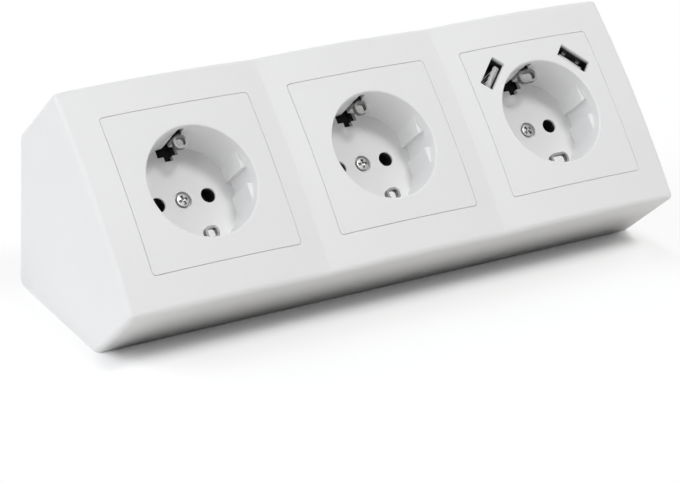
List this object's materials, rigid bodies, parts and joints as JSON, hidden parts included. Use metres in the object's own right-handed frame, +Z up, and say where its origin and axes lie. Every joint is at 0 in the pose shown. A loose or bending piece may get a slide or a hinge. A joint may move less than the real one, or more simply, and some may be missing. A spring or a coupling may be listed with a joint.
{
  "type": "corner power socket",
  "caption": "Long white wedge-backed power strip for a room corner, with earthed socket wells in square cover plates and USB charging ports in one plate.",
  "frame": {"origin": "centre of the box around the part, on the worktop plane", "axes": "+X along the row towards the plate with the ports, +Y towards the wall, +Z up"},
  "size_m": [0.221, 0.08, 0.0799],
  "materials": {
    "housing_white": "satin moulded white plastic",
    "cover_white": "smooth moulded white plastic",
    "rear_white": "plain moulded white plastic",
    "grommet_rubber": "matte black rubber",
    "screw_steel": "bright plated steel",
    "strap_steel": "plated spring strip",
    "contact_brass": "plain spring brass",
    "base_black": "dark insulating moulding",
    "terminal_plastic": "natural insulating moulding",
    "board_green": "coated circuit board",
    "transformer_tape": "yellow insulating tape",
    "capacitor_sleeve": "shrunk dark sleeve",
    "wire_brown": "wire insulation",
    "wire_blue": "wire insulation",
    "wire_green": "wire insulation",
    "port_steel": "folded sheet shell",
    "tongue_white": "white insulating tongue"
  },
  "bodies": {
    "root": {"base_screws": "screw_steel", "board_screws": "screw_steel", "cable_grommet": "grommet_rubber", "cover_plate_left": "cover_white", "cover_plate_middle": "cover_white", "cover_plate_right": "cover_white", "cover_screws": "screw_steel", "earth_strap_left": "strap_steel", "earth_strap_middle": "strap_steel", "earth_strap_right": "strap_steel", "earth_wire": "wire_green", "housing": "housing_white", "line_contact_left": "contact_brass", "line_contact_middle": "contact_brass", "line_contact_right": "contact_brass", "line_wire": "wire_brown", "neutral_contact_left": "contact_brass", "neutral_contact_middle": "contact_brass", "neutral_contact_right": "contact_brass", "neutral_wire": "wire_blue", "rear_base": "rear_white", "socket_base_left": "base_black", "socket_base_middle": "base_black", "socket_base_right": "base_black", "terminal_block": "terminal_plastic", "terminal_screws": "screw_steel", "usb_board": "board_green", "usb_capacitors": "capacitor_sleeve", "usb_feed_pins": "contact_brass", "usb_shell_left": "port_steel", "usb_shell_right": "port_steel", "usb_tongue_left": "tongue_white", "usb_tongue_right": "tongue_white", "usb_transformer": "transformer_tape"}
  },
  "joints": []
}
